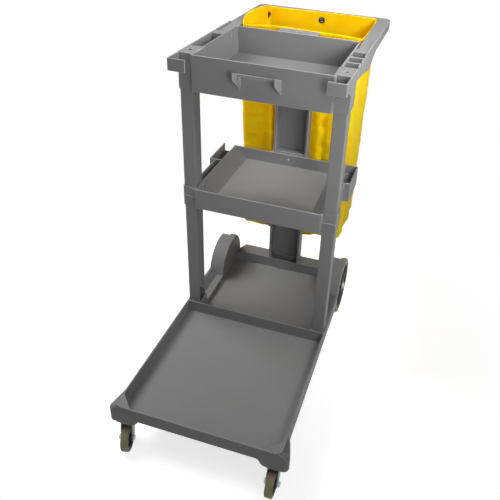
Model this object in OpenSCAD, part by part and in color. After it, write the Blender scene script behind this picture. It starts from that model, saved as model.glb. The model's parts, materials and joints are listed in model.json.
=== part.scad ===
// Janitor cart: a platform base with a front tray and a lower deck, a middle shelf, a top tray,
// a handle frame with a hanging bag, swivel casters at the front and fixed wheels at the rear.
// Millimetres, +Z up, +Y to the rear, +X to the right as seen from the front.
// Lengths along Y are measured from the front wall of the top tray until place() centres the cart.

/* [Top tray] */
// Outer width of the top tray and of the middle shelf
tray_w = 378; // [350:1:420]
// Outer depth of the top tray, front to back
tray_d = 328; // [300:1:360]
// Height of the top tray's rim above the floor
tray_top = 980; // [940:1:1040]
// Outer height of the top tray's walls
tray_h = 98; // [90:1:120]
// Depth of the top tray inside
tray_inside = 80; // [60:1:84]
// Wall of the large mouldings
wall = 4; // [3:0.5:5]
// Corner radius of the trays in plan
tray_corner = 6; // [5:0.5:12]
// Depth of the screw recesses in the top of the tray
screw_recess = 8; // [5:1:12]

/* [Tray hooks and pull] */
// Reach of the corner hooks in front of the tray
hook_reach = 48; // [35:1:60]
// Height of the corner hooks
hook_h = 33; // [25:1:45]
// Width of the hooks' front plates
hook_w = 48; // [40:1:55]
// Width of the front pull over its cheeks
pull_w = 112; // [90:1:160]
// Reach of the pull's cheeks in front of the tray
pull_reach = 52; // [40:1:60]
// Drop of the cheeks' tops below the rim, at the tray
pull_drop = 30; // [26:1:40]
// Height of the cheeks at the tray
pull_h = 40; // [30:1:48]
// Rise of the cheeks' tops from the tray to their front ends
pull_rise = 18; // [8:1:22]
// Height of the cheeks' front ends
pull_tip = 20; // [14:1:26]
// Room for fingers between the tray and the pull's bar
pull_room = 18; // [14:1:24]
// Thickness of the pull's bar
pull_bar = 6; // [5:0.5:10]

/* [Tray sides] */
// Length of the corner blocks behind the front posts
block_tail = 22; // [16:1:30]
// Number of tool slots on the right side
slot_count = 3; // [2:1:4]
// Width of the slits that open the tool slots outwards
slot_mouth = 14; // [10:1:18]
// Thickness of the ribs between the tool slots
slot_rib = 8; // [4:1:10]
// Reach of the arms behind the tray
arm_reach = 57; // [40:1:70]
// Height of the arms at their deepest
arm_h = 62; // [50:1:75]
// Height of the side walls beside the corner blocks
arm_front_h = 32; // [26:1:40]
// Length of the cross block in front of each rail
cross_l = 28; // [20:1:36]

/* [Middle shelf] */
// Height of the shelf's rim above the floor
shelf_top = 588; // [540:1:640]
// Outer height of the shelf's walls
shelf_h = 63; // [58:1:75]
// Depth of the shelf inside, with side walls that slope at 45 degrees
shelf_inside = 40; // [30:1:44]
// How much shorter the shelf is than the top tray, front to back
shelf_short = 5; // [0:1:10]
// Radius of the bead across the shelf's sockets
bead_r = 3; // [2:0.5:4]
// Outer width of the shelf's front side holders
holder_w = 21; // [16:1:28]
// Place of the wall between the shelf's side holders
holder_y = 203; // [170:1:230]
// Height of the left holder's rear wall and of the ramps
holder_back_h = 36; // [28:1:50]
// Length of the ramps inside the rear holders
ramp_l = 60; // [40:1:80]

/* [Posts] */
// Width of a front post across the cart
post_w = 37; // [32:1:44]
// Depth of a front post
post_d = 45; // [38:1:54]
// Distance of the front posts behind the tray's front wall
post_y = 13; // [12:1:20]
// Wall of the posts
post_wall = 3.5; // [2.5:0.5:5]
// Outer corner radius of the front posts
post_corner = 3; // [2:0.5:5]
// Height of the cut-out in the inner side of the lower posts
window_h = 64; // [40:1:80]
// Width of a rear post
rear_post_w = 112; // [90:1:130]
// Depth of a rear post
rear_post_d = 36; // [30:1:44]
// Depth of the sockets that hold the posts' ends
socket_depth = 15; // [12:1:20]
// Depth of the middle shelf's upper rear socket
rear_socket = 30; // [24:1:32]
// Wall round a front post's socket
socket_wall = 2; // [1.5:0.5:3]
// Thickness of the closed ends of the posts that take a screw
post_cap = 8; // [6:1:12]
// Distance of a front post's screw from the back of the post
post_screw_in = 15; // [12:1:20]
// Height of the screw boss inside the upper rear post
post_boss_h = 40; // [30:1:60]
// Reach of the web across the foot of the lower rear post
foot_web = 14; // [8:1:20]

/* [Base] */
// Reach of the base in front of the top tray
platform_reach = 441; // [380:1:500]
// Height of the base's walls above its floor
base_wall_h = 39; // [30:1:50]
// Depth of the ribs under the base's floor
rib_h = 6; // [4:1:10]
// Thickness of the ribs under the base's floor
rib_t = 3; // [2:0.5:4]
// Rows of ribs along the front tray
rib_rows = 3; // [2:1:5]
// Step from the lower deck up to its side ledges
ledge_h = 18; // [12:1:24]
// Width of the flat on the side ledges
ledge_w = 18; // [12:1:24]
// Depth of the rear beam
beam_d = 50; // [46:1:60]
// Width of the shallow notches in the deck along the rear beam
notch_w = 45; // [30:1:60]
// Distance of the outer notches from the middle
notch_x = 125; // [100:1:130]
// Slope at each end of the rear beam
beam_slope = 20; // [10:1:28]
// Drop of the corner bumpers below the front beam
bumper_drop = 10; // [6:1:16]
// Rise of the front beam's lower edge above the skirt
front_lift = 7; // [4:1:9]
// Length of a bumper along the side
bumper_l = 68; // [60:1:90]
// Width of a bumper along the front
bumper_w = 77; // [74:1:90]
// How far a bumper stands out at the side
bumper_out = 20; // [14:1:24]
// Height of the slope on the top of a bumper
bumper_bevel = 16; // [10:1:20]
// How far a bumper stands out in front
bumper_front = 3; // [2:0.5:6]
// Corner radius of a bumper
bumper_corner = 14; // [10:1:18]
// Corner radius of the base's front corners
base_corner = 18; // [14:1:24]
// Legs of the flat triangle in each front corner
corner_leg = 40; // [25:1:55]

/* [Wheel housings] */
// Width of a wheel housing
housing_w = 50; // [48:1:60]
// Radius of a wheel housing's arch
housing_r = 99; // [94:1:110]
// Centre of the arch ahead of the axle
housing_forward = 43; // [36:1:54]
// Centre of the arch above the axle
housing_up = 32; // [26:1:42]
// Distance from the end of the arch back to the axle
housing_cut = 16; // [8:1:26]
// Width of the lip round the opening in the housing's outer side
housing_lip = 10; // [6:1:16]
// Radius of the lugs that carry the axle
lug_r = 22; // [16:1:26]
// Length of the lugs inside the frame
lug_l = 12; // [8:1:20]
// Length of the lugs inside the housings
lug_out = 12; // [8:1:14]

/* [Rear wheels] */
// Diameter of a rear wheel
rear_wheel_d = 198; // [180:1:210]
// Width of a rear tyre
tyre_w = 22; // [16:1:24]
// Thickness of a rear tyre
tyre_t = 15; // [8:1:20]
// Edge radius of a rear tyre
tyre_edge = 5; // [2:0.5:7]
// Diameter of the rear axle
axle_d = 14; // [10:1:18]
// Distance of the rear axle behind the front of the rear posts
axle_set = 5; // [0:1:12]
// Spokes of a rear wheel
spoke_count = 8; // [5:1:12]

/* [Casters] */
// Diameter of a caster wheel
caster_wheel_d = 76; // [60:1:82]
// Width of a caster's tread
caster_tread_w = 21; // [16:1:26]
// Thickness of a caster's tread
caster_tread_t = 8; // [5:0.5:12]
// Distance of a caster's wheel from its swivel axis
caster_lead = 25; // [20:1:34]
// Distance of the swivel axis in from the side of the base
caster_in = 20; // [16:1:26]
// Distance of the swivel axis behind the front of the base
caster_back = 26; // [26:1:40]
// Width of a caster's top plate
plate_w = 46; // [44:1:50]
// Length of a caster's top plate
plate_l = 56; // [54:1:58]
// Thickness of a caster's top plate and fork
plate_t = 3; // [2:0.5:4]
// Diameter of the balls in a swivel race
ball_d = 6.4; // [5:0.2:8]
// Number of balls in a swivel race
ball_count = 10; // [8:1:10]
// Diameter of a caster's axle bolt
bolt_d = 8; // [6:1:10]
// Diameter of a kingpin
kingpin_d = 10; // [8:1:12]
// Length of a fork's crown in front of its swivel axis
crown_front = 20; // [18:1:24]
// Length of a fork's crown behind its swivel axis
crown_back = 18; // [16:1:22]
// Angle at which the left caster stands turned inwards
left_turn = 15; // [-45:1:45]
// Angle at which the right caster stands turned inwards
right_turn = 0; // [-45:1:45]

/* [Handle frame] */
// Width of the rails
rail_w = 38; // [32:1:44]
// Height of the rails
rail_h = 30; // [24:1:36]
// Thickness of the back bar
bar_t = 21; // [18:1:30]
// Drop of the rails below the tray's rim
rail_drop = 5; // [2:1:8]
// Length of the rails beside the tray
rail_seat = 78; // [60:1:90]
// Gap between the rails and the tray's side walls
rail_gap = 2; // [1:0.5:4]
// Outer radius of the frame's rear corners
rail_corner = 18; // [12:1:24]
// Distance of the rail screws behind the rails' front ends
rail_screw_in = 24; // [16:1:40]

/* [Bag] */
// Depth of the bag, front to back
bag_d = 273; // [220:1:320]
// Height of the bag
bag_h = 750; // [600:1:780]
// How far the bag's hem stands above the rails
bag_rise = 10; // [4:1:16]
// Thickness of the bag's vinyl
bag_wall = 2.5; // [1.5:0.5:4]
// How far the bag's sides draw in at the bottom
bag_taper = 8; // [0:1:16]
// How far the bag's front draws in at the bottom
bag_lean = 22; // [0:1:40]
// Corner radius of the bag
bag_corner = 6; // [4:1:6]
// Diameter of the pegs that the bag hangs on
peg_d = 7; // [5:0.5:8]
// Hole in an eyelet
eyelet_d = 12.4; // [11.4:0.2:16]
// Drop of the pegs below the top of the rails
peg_drop = 22; // [18:1:23]

/* [Screws] */
// Diameter of the screws' shanks
screw_d = 4; // [3:0.5:5]
// Diameter of the screws' heads
screw_head = 9; // [7:0.5:10]
// Length of the tray's rear screw inside the rear post
tray_bite = 18; // [12:1:24]

/* [Fits] */
// Gap round a piece that is pushed into its socket
fit = 0.3; // [0.2:0.05:0.5]
// Gap round a shaft that turns
run_fit = 0.05; // [0.03:0.01:0.1]

/* [Hidden] */
$fn = 48;
past = 1;
root2 = sqrt(2);

// Across the cart
tray_x = tray_w / 2;
post_in = tray_x + fit;
post_out = post_in + post_w;
post_mid = (post_in + post_out) / 2;
socket_x = post_out + fit + socket_wall;
arm_in = socket_x - wall;
base_gap = 0.7;
base_x = post_out + base_gap + wall;
housing_x = base_x - housing_w;
hub_x = housing_x + wall + lug_out + 2;
tyre_x = base_x - 5;
bumper_x = base_x + bumper_out;
caster_x = base_x - caster_in;
rail_in = tray_x + rail_gap;
rail_out = rail_in + rail_w;
bag_x = rail_in - 4;

// Heights
axle_z = rear_wheel_d / 2;
caster_r = caster_wheel_d / 2;
race_h = ball_d + 0.6;
fork_room = 9;
caster_stack = 2 * plate_t + race_h + fork_room;
skirt_z = max(axle_z + axle_d / 2 + 2 * fit, caster_wheel_d + caster_stack + bumper_drop);
bumper_z = skirt_z - bumper_drop;
deck_z = skirt_z + rib_h + wall;
rim_z = deck_z + base_wall_h;
shelf_z = shelf_top - shelf_h;
shelf_floor = shelf_top - shelf_inside;
tray_z = tray_top - tray_h;
tray_floor = tray_top - tray_inside;
post_top = tray_top - 2 * screw_recess;
rail_top = tray_top - rail_drop;
rail_z = rail_top - rail_h;
peg_z = rail_top - peg_drop;
eyelet_z = peg_z - (eyelet_d - peg_d) / 2 + run_fit;
corner_screw_z = shelf_top - socket_depth / 2;
bag_top = rail_top + bag_rise;
bag_z = bag_top - bag_h;
crown_z = bumper_z - 2 * plate_t - race_h;

// Along the cart
post_back = post_y + post_d;
socket_front = post_y - fit - socket_wall;
block_end = post_back + block_tail;
screw_y = post_back - post_screw_in;
shelf_d = tray_d - shelf_short;
rear_front = tray_d + fit;
rear_back = rear_front + rear_post_d;
rear_x = rear_post_w / 2;
boss_back = rear_back + fit + wall;
boss_x = rear_x + fit + wall;
boss_screw_y = rear_front + rear_post_d / 2;
divider_t = wall + 0.5;
divider_y = post_y - 1.5 - divider_t;
beam_front = rear_front - fit - wall + past;
beam_back = beam_front + beam_d;
axle_y = rear_front + axle_set;
arch_y = axle_y - housing_forward;
arch_z = axle_z + housing_up;
arch_end = axle_y - housing_cut;
housing_front = arch_y - housing_r;
rail_front = tray_d - rail_seat;
cross_y = rail_front - cross_l;
arm_end = tray_d + arm_reach;
slot_pitch = (cross_y - block_end) / slot_count;
bag_front = boss_back + 3.4;
bag_back = bag_front + bag_d;
bar_in = bag_back + 3;
rail_back = bar_in + bar_t;
peg_rear_y = bag_back - 17;
peg_front_y = max(arm_end, bag_front) + 14;
rail_screw_y = rail_front + rail_screw_in;
caster_y = caster_back - platform_reach;
caster_reach = (caster_lead + caster_r) * cos(min(abs(left_turn), abs(right_turn)));
front_y = min(caster_y - caster_reach, -platform_reach - bumper_front);
mid_y = (front_y + rail_back) / 2;

// Colours
grey = "#6e6f71";
vinyl = "#f2c010";
tan = "#9a8f63";
zinc = "#aab4bd";
black = "#2a2b2d";
steel = "#c4c8cc";

// Placing and repeated shapes

// Puts the cart's origin on the floor under the middle of its length
module place() {
    translate([0, -mid_y, 0]) children();
}

// The children on the right, or mirrored to the left
module on_side(left) {
    mirror([left ? 1 : 0, 0, 0]) children();
}

// The children on both sides
module both_sides() {
    on_side(false) children();
    on_side(true) children();
}

// A block from one corner to the opposite one
module block(low, high) {
    translate(low) cube(high - low);
}

// A profile drawn in Y and Z, drawn out along X from x0 to x1
module across(x0, x1) {
    translate([x0, 0, 0]) rotate([90, 0, 90]) linear_extrude(x1 - x0) children();
}

// A profile drawn in X and Z, drawn out along Y from y0 to y1
module along(y0, y1) {
    translate([0, y1, 0]) rotate([90, 0, 0]) linear_extrude(y1 - y0) children();
}

// A cylinder along X
module rod_x(x0, x1, y, z, r) {
    translate([x0, y, z]) rotate([0, 90, 0]) cylinder(r = r, h = x1 - x0);
}

// A rectangle with round corners, from its low corner to its high corner
module round_rect(low, high, r) {
    translate(low + [r, 0]) square(high - low - [2 * r, 0]);
    translate(low + [0, r]) square(high - low - [0, 2 * r]);
    for (x = [low.x + r, high.x - r], y = [low.y + r, high.y - r]) translate([x, y]) circle(r);
}

// A pan-head screw with its head's seat at the origin, pointing down
module screw(length) {
    rotate_extrude() union() {
        translate([0, -length]) square([screw_d / 2, length + past]);
        intersection() {
            square([screw_head / 2, screw_head / 3]);
            translate([0, -screw_head * 0.45]) circle(screw_head * 0.75);
        }
    }
}

// Base

// Outline of a wheel housing's inner side in Y and Z, with its rear edge cut back
module housing_side() {
    top = arch_z + housing_r + past;
    intersection() {
        union() {
            translate([arch_y, arch_z]) circle(housing_r, $fn = 96);
            translate([housing_front, skirt_z]) square([beam_back - housing_front, arch_z - skirt_z]);
        }
        polygon([[housing_front - past, skirt_z], [housing_front - past, top], [arch_end, top],
            [arch_end, arch_z + housing_r * 0.97], [arch_end + housing_cut * 1.8, arch_z + housing_r * 0.76],
            [beam_back, skirt_z]]);
    }
}

// Outline of the arch in Y and Z as far as its end, drawn in by an inset
module arch(inset) {
    intersection() {
        union() {
            translate([arch_y, arch_z]) circle(housing_r - inset, $fn = 96);
            translate([housing_front + inset, 0]) square([2 * housing_r - 2 * inset, arch_z]);
        }
        translate([0, inset > 0 ? 0 : skirt_z]) square([inset > 0 ? beam_back : arch_end, 2 * arch_z]);
    }
}

// One wheel housing: inner side, arched band, lip on the outer side and the lug for the axle
module wheel_housing() {
    across(housing_x, housing_x + wall) housing_side();
    across(housing_x, base_x) difference() {
        arch(0);
        arch(wall);
    }
    across(base_x - wall, base_x) difference() {
        arch(0);
        arch(housing_lip);
    }
    rod_x(housing_x - lug_l, housing_x + wall + lug_out, axle_y, axle_z, lug_r);
    block([housing_x - lug_l, axle_y - lug_r, axle_z],
        [housing_x + wall, min(axle_y + lug_r, beam_back - wall), deck_z - wall]);
}

// Ledge beside the lower deck and the side wall that it meets, in X and Z
module ledge_profile() {
    inner = housing_x + wall;
    flat = inner + ledge_w;
    rise = rim_z - deck_z - ledge_h;
    slope_end = min(flat + rise, base_x - wall);
    polygon([[inner - wall, deck_z - wall], [inner - wall, deck_z + ledge_h], [flat, deck_z + ledge_h],
        [slope_end, rim_z], [base_x, rim_z], [base_x, skirt_z], [base_x - wall, skirt_z],
        [base_x - wall, rim_z - wall], [slope_end + wall * (root2 - 1), rim_z - wall],
        [flat - wall * (root2 - 1), deck_z + ledge_h - wall], [inner, deck_z + ledge_h - wall],
        [inner, deck_z - wall]]);
}

// Socket walls round the foot of a front post
module post_socket() {
    difference() {
        block([post_in - fit - wall, divider_y + past, deck_z - wall],
            [base_x, post_back + fit + wall, rim_z]);
        block([post_in - fit, post_y - fit, deck_z], [base_x - wall, post_back + fit, rim_z + past]);
    }
}

// Outline of the front tray in plan, with round front corners
module platform_outline() {
    round_rect([-base_x, -platform_reach], [base_x, divider_y + divider_t], base_corner);
    translate([-base_x, -platform_reach + 2 * base_corner])
        square([2 * base_x, platform_reach - 2 * base_corner + divider_y + divider_t]);
}

// Solid of one corner bumper: it widens towards the front corner and slopes in at its top
module bumper_solid() {
    front = -platform_reach - bumper_front;
    back = front + bumper_l;
    inner = bumper_x - bumper_w + bumper_corner;
    r = base_corner - 2;
    low_corners = [[inner, front + bumper_corner], [bumper_x - bumper_corner, front + bumper_corner],
        [inner, back - bumper_corner], [bumper_x - 1.8 * bumper_corner, back - bumper_corner]];
    top_corners = [[inner + r, -platform_reach + base_corner],
        [base_x - base_corner, -platform_reach + base_corner],
        [inner + r, back - r], [base_x - base_corner, back]];
    hull() {
        for (c = low_corners) translate([c.x, c.y, bumper_z])
            cylinder(r = bumper_corner, h = rim_z - bumper_bevel - bumper_z, $fn = 32);
        for (c = top_corners) translate([c.x, c.y, rim_z - past]) cylinder(r = r, h = past, $fn = 32);
    }
}

// One corner bumper outside the front tray, with the flat triangle in the corner of the tray
module bumper() {
    front = -platform_reach + wall;
    side = base_x - wall;
    root = bumper_x - bumper_w;
    difference() {
        bumper_solid();
        block([0, front, deck_z - past], [side, 0, rim_z + past]);
    }
    along(-platform_reach, front) polygon([[root - bumper_drop, skirt_z + front_lift],
        [root - bumper_drop / 3, skirt_z + front_lift * 0.6], [root, skirt_z],
        [root + bumper_drop / 3, bumper_z + bumper_drop * 0.35], [root + bumper_corner, bumper_z],
        [root + bumper_corner, deck_z], [root - bumper_drop, deck_z]]);
    translate([0, 0, deck_z - wall]) linear_extrude(rim_z - deck_z + wall) intersection() {
        polygon([[side - corner_leg, front - past], [base_x, front - past], [base_x, front + corner_leg],
            [side, front + corner_leg]]);
        platform_outline();
    }
}

// Rear beam with sloped ends, hollow from below, in X and Z
module beam_profile(inset) {
    x = housing_x - inset + past;
    top = rim_z - inset;
    polygon([[-x, skirt_z - (inset > 0 ? past : 0)], [-x, top - beam_slope], [-x + beam_slope, top],
        [x - beam_slope, top], [x, top - beam_slope], [x, skirt_z - (inset > 0 ? past : 0)]]);
}

// Ribs under the floor of the front tray and of the lower deck
module floor_ribs() {
    cell_x = 2 * base_x / (rib_rows + 1);
    cell_y = platform_reach / (rib_rows + 1);
    for (i = [1 : rib_rows]) {
        x = -base_x + i * cell_x;
        y = -platform_reach + i * cell_y;
        block([x - rib_t / 2, -platform_reach + cell_y / 4, skirt_z],
            [x + rib_t / 2, beam_front + past, deck_z - past]);
        block([-base_x + past, y - rib_t / 2, skirt_z], [base_x - past, y + rib_t / 2, deck_z - past]);
    }
}

// The four screw places of a caster's plate, about its swivel axis
module plate_holes() {
    for (x = [-1, 1], y = [-1, 1])
        translate([x * (plate_w - 12) / 2, y * (plate_l - 14) / 2]) children();
}

module base_platform() color(grey) place() difference() {
    union() {
        difference() {
            translate([0, 0, skirt_z]) linear_extrude(rim_z - skirt_z) platform_outline();
            block([-base_x + wall, -platform_reach + wall, deck_z],
                [base_x - wall, divider_y, rim_z + past]);
            block([-base_x + wall, -platform_reach + wall, skirt_z - past],
                [base_x - wall, divider_y + divider_t + past, deck_z - wall]);
            block([bumper_w - bumper_x, -platform_reach - past, skirt_z - past],
                [bumper_x - bumper_w, -platform_reach + wall + past, skirt_z + front_lift]);
        }
        block([-housing_x - wall, divider_y, deck_z - wall], [housing_x + wall, beam_front + past, deck_z]);
        block([-base_x, divider_y, deck_z - wall], [base_x, post_back + fit + wall, deck_z]);
        both_sides() {
            along(post_back + fit, housing_front + wall) ledge_profile();
            block([base_x - wall, divider_y, skirt_z], [base_x, post_back + 2 * wall, rim_z]);
            post_socket();
            wheel_housing();
            bumper();
        }
        difference() {
            along(beam_front, beam_back) beam_profile(0);
            along(beam_front + wall, beam_back - wall) beam_profile(wall);
        }
        block([-boss_x, beam_front + past, deck_z - wall], [boss_x, beam_back - past, rim_z]);
        floor_ribs();
    }
    block([-rear_x - fit, rear_front - fit, deck_z], [rear_x + fit, rear_back + fit, rim_z + past]);
    for (x = [-notch_x, 0, notch_x])
        block([x - notch_w / 2, beam_front - 3 * wall, deck_z - wall / 2],
            [x + notch_w / 2, beam_front, deck_z + past]);
    both_sides() {
        rod_x(housing_x - lug_l - past, base_x - wall - past, axle_y, axle_z, axle_d / 2 + run_fit);
        translate([caster_x, caster_y, bumper_z - past]) plate_holes()
            cylinder(d = screw_d + 2 * run_fit, h = 14 + past);
    }
}

// Posts

// A front post: a closed tube between two heights, open at its lower end
module front_post(low, high, cap) {
    difference() {
        translate([0, 0, low]) linear_extrude(high - low)
            round_rect([post_in, post_y], [post_out, post_back], post_corner);
        block([post_in + post_wall, post_y + post_wall, low - past],
            [post_out - post_wall, post_back - post_wall, high - cap]);
        if (cap > 0) translate([post_mid, screw_y, high - cap - past])
            cylinder(d = screw_d + 2 * run_fit, h = cap + 2 * past);
    }
}

// Cut-out in the inner side of a lower post, above its socket, in Y and Z
module post_window() {
    polygon([[post_y + post_wall, rim_z], [post_y + post_wall, rim_z + window_h],
        [post_back - post_wall, rim_z + window_h / 3], [post_back - post_wall, rim_z]]);
}

module front_post_lower(left) color(grey) place() on_side(left) difference() {
    front_post(deck_z, shelf_z + socket_depth, 0);
    across(post_in - past, post_in + post_wall + past) post_window();
}

module front_post_upper(left) color(grey) place() on_side(left) difference() {
    front_post(shelf_top - socket_depth, post_top, post_cap);
    rod_x(post_in - past, post_in + post_wall + past, screw_y, corner_screw_z, screw_d / 2 + run_fit);
}

// A rear post: a channel open to the front, between two heights
module channel(low, high) {
    difference() {
        block([-rear_x, rear_front, low], [rear_x, rear_back, high]);
        block([-rear_x + post_wall * 2, rear_front - past, low - past],
            [rear_x - post_wall * 2, rear_back - post_wall, high + past]);
    }
    for (x = [-1, 1]) block([x * (rear_x - 2 * post_wall) - post_wall / 2, rear_back - 4 * post_wall, low],
        [x * (rear_x - 2 * post_wall) + post_wall / 2, rear_back, high]);
}

module rear_post_lower() color(grey) place() {
    channel(deck_z, shelf_z + socket_depth);
    block([past - rear_x, rear_back - foot_web, rim_z + fit],
        [rear_x - past, rear_back - past, rim_z + fit + wall]);
}

module rear_post_upper() color(grey) place() {
    low = shelf_top - rear_socket;
    difference() {
        union() {
            channel(low, post_top);
            block([-rear_x + past, rear_front, low], [rear_x - past, rear_back - past, shelf_top + 4]);
            translate([0, boss_screw_y, post_top - post_boss_h])
                cylinder(d = screw_head + 8, h = post_boss_h);
            block([-post_wall / 2, boss_screw_y, post_top - post_boss_h],
                [post_wall / 2, rear_back - past, post_top]);
        }
        translate([0, boss_screw_y, post_top - tray_bite - 2])
            cylinder(d = screw_d + 2 * run_fit, h = tray_bite + 2 + past);
        translate([0, rear_front - past, shelf_screw_z()]) rotate([-90, 0, 0])
            cylinder(d = screw_d + 2 * run_fit, h = 14 + past);
    }
}

// Height of the screw in the back wall of the middle shelf
function shelf_screw_z() = shelf_top - rear_socket * 0.62;

// Middle shelf

// Socket for the ends of two front posts, with a bead across its front
module shelf_socket() {
    low = [tray_x - past, socket_front, shelf_z];
    high = [socket_x, post_back + fit + socket_wall, shelf_top];
    hole_low = [tray_x, post_y - fit];
    hole_high = [post_out + fit, post_back + fit];
    difference() {
        union() {
            translate([0, 0, shelf_z]) linear_extrude(shelf_h)
                round_rect([low.x - post_corner, low.y], [high.x, high.y], post_corner);
            rod_x(tray_x, socket_x - past, socket_front, (shelf_top + shelf_z) / 2, bead_r);
        }
        for (z = [shelf_z - past, shelf_top - socket_depth])
            translate([0, 0, z]) linear_extrude(socket_depth + past)
                round_rect(hole_low, hole_high, post_corner);
    }
}

// Front and rear holders outside a side wall of the shelf
module side_holders(back_h) {
    end = shelf_d + 2;
    mid = tray_x + holder_w;
    floor_z = shelf_z + wall;
    difference() {
        union() {
            block([tray_x - past, post_back, shelf_z], [mid, holder_y + wall, shelf_top]);
            block([tray_x - past, holder_y, shelf_z], [socket_x, end, shelf_top]);
        }
        block([tray_x, post_back + fit + socket_wall, floor_z], [mid - wall, holder_y, shelf_top + past]);
        block([tray_x, holder_y + wall, floor_z], [socket_x - wall, end - wall, shelf_top + past]);
        block([tray_x, end - wall - past, shelf_z + back_h], [socket_x - wall, end + past, shelf_top + past]);
    }
    across(tray_x - past, socket_x - past) polygon([[end - past, shelf_z + past],
        [end - past, shelf_z + holder_back_h], [end - wall, shelf_z + holder_back_h],
        [end - wall - ramp_l, floor_z], [end - wall - ramp_l, shelf_z + past]]);
}

// Rear socket of the shelf for both rear posts
module shelf_boss() {
    difference() {
        block([-boss_x, shelf_d - wall, shelf_z], [boss_x, boss_back, shelf_top]);
        block([-rear_x - fit, rear_front - fit, shelf_top - rear_socket],
            [rear_x + fit, rear_back + fit, shelf_top + past]);
        block([-rear_x - fit, rear_front - fit, shelf_z - past],
            [rear_x + fit, rear_back + fit, shelf_z + socket_depth]);
    }
}

// Inside of the shelf in X and Z, with side walls that slope at 45 degrees
module shelf_room() {
    x = tray_x - wall;
    polygon([[-x, shelf_top + past], [-x, shelf_top], [-x + shelf_inside, shelf_floor],
        [x - shelf_inside, shelf_floor], [x, shelf_top], [x, shelf_top + past]]);
}

// Hollow under the shelf's floor and sloped walls in X and Z
module shelf_hollow() {
    x = tray_x - wall;
    flat = x - shelf_inside + wall * (root2 - 1);
    polygon([[-x, shelf_z - past], [-x, shelf_top - wall * root2], [-flat, shelf_floor - wall],
        [flat, shelf_floor - wall], [x, shelf_top - wall * root2], [x, shelf_z - past]]);
}

module middle_shelf() color(grey) place() difference() {
    union() {
        difference() {
            translate([0, 0, shelf_z]) linear_extrude(shelf_h)
                round_rect([-tray_x, 0], [tray_x, shelf_d], tray_corner);
            along(wall, shelf_d - wall) shelf_room();
            along(wall, shelf_d - wall) shelf_hollow();
        }
        both_sides() shelf_socket();
        on_side(true) side_holders(holder_back_h);
        on_side(false) side_holders(shelf_h);
        shelf_boss();
    }
    translate([0, shelf_d - wall - past, shelf_screw_z()]) rotate([-90, 0, 0])
        cylinder(d = screw_d + 2 * run_fit, h = rear_front - shelf_d + wall + 2 * past);
    both_sides() {
        rod_x(tray_x - 4 * wall, tray_x + past, screw_y, corner_screw_z, screw_d / 2 + run_fit);
        rod_x(tray_x - 5 * wall, tray_x - 2 * wall, screw_y, corner_screw_z, screw_head / 2 + 0.5);
    }
}

// Top tray

// Corner block over a front post, with its screw recess and a hollow behind the post
module corner_block() {
    difference() {
        translate([0, 0, tray_z]) linear_extrude(tray_h)
            round_rect([tray_x - 2 * post_corner, socket_front], [socket_x, block_end], post_corner);
        translate([0, 0, tray_z - past]) linear_extrude(post_top - tray_z + past)
            round_rect([tray_x, post_y - fit], [post_out + fit, post_back + fit], post_corner);
        block([tray_x, post_back + fit + wall, tray_z - past],
            [socket_x - wall, block_end - wall, tray_top - wall]);
        translate([post_mid, screw_y, tray_top - screw_recess])
            cylinder(d = screw_head + 3, h = screw_recess + past);
        translate([post_mid, screw_y, post_top - past])
            cylinder(d = screw_d + 2 * run_fit, h = screw_recess + 2 * past);
    }
}

// Hook in front of a corner block: a side plate and a front plate with a free inner end
module corner_hook() {
    low = tray_top - hook_h;
    root = post_y - fit;
    across(socket_x - wall, socket_x) polygon([[-hook_reach, low], [-hook_reach, tray_top], [root, tray_top],
        [root, low - hook_h / 2], [-hook_reach / 3, low]]);
    block([socket_x - hook_w, -hook_reach, low], [socket_x, -hook_reach + wall, tray_top]);
}

// Outer side plate of an arm in Y and Z
module arm_plate() {
    deep = tray_top - arm_h;
    polygon([[block_end - wall, tray_top], [arm_end - 3 * wall, tray_top], [arm_end, rail_top - wall],
        [arm_end, rail_z], [rail_front + 5 * wall, deep],
        [cross_y - 8 * wall, (deep + tray_top - arm_front_h) / 2],
        [block_end - wall, tray_top - arm_front_h]]);
}

// Arm beside the tray with a cross block and a ledge that carry a rail
module rail_arm() {
    across(arm_in, socket_x) arm_plate();
    difference() {
        block([tray_x - past, cross_y, rail_z - 2 * wall], [socket_x - past, rail_front, tray_top]);
        block([tray_x, cross_y + wall, rail_z - 3 * wall], [arm_in, rail_front - wall, tray_top - wall]);
    }
    block([tray_x - past, rail_front - past, rail_z - fit - wall],
        [socket_x - past, tray_d - past, rail_z - fit]);
}

// Tool slots on the right side: ribs between the block and the cross block
module slot_ribs() {
    for (i = [1 : slot_count - 1])
        block([tray_x - past, block_end + i * slot_pitch - slot_rib, tray_top - arm_front_h],
            [socket_x - past, block_end + i * slot_pitch, tray_top]);
}

// Slits that open the tool slots to the outside
module slot_mouths() {
    for (i = [0 : slot_count - 1])
        block([arm_in - past, block_end + i * slot_pitch, tray_z],
            [socket_x + past, block_end + i * slot_pitch + slot_mouth, tray_top + past]);
}

// Front pull: two cheeks that rise towards the front, with a bar between them
module front_pull() {
    x = pull_w / 2;
    top = tray_top - pull_drop;
    tip = top + pull_rise;
    bar_top = top + pull_rise * pull_room / pull_reach;
    for (x0 = [-x, x - wall]) across(x0, x0 + wall)
        polygon([[past, top - pull_h], [past, top], [0, top], [-pull_reach, tip],
            [-pull_reach, tip - pull_tip], [0, top - pull_h]]);
    block([past - x, -pull_room - pull_bar, bar_top - pull_bar], [x - past, -pull_room, bar_top]);
}

// Rear socket of the tray over the upper rear post, with its screw tower
module tray_boss() {
    difference() {
        block([-boss_x, tray_d - wall, tray_z], [boss_x, boss_back, tray_top]);
        block([-rear_x - fit, rear_front - fit, tray_z - past],
            [rear_x + fit, rear_back + fit, tray_top - wall]);
    }
    translate([0, boss_screw_y, post_top]) cylinder(d = screw_head + 8, h = tray_top - post_top - past);
}

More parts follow.
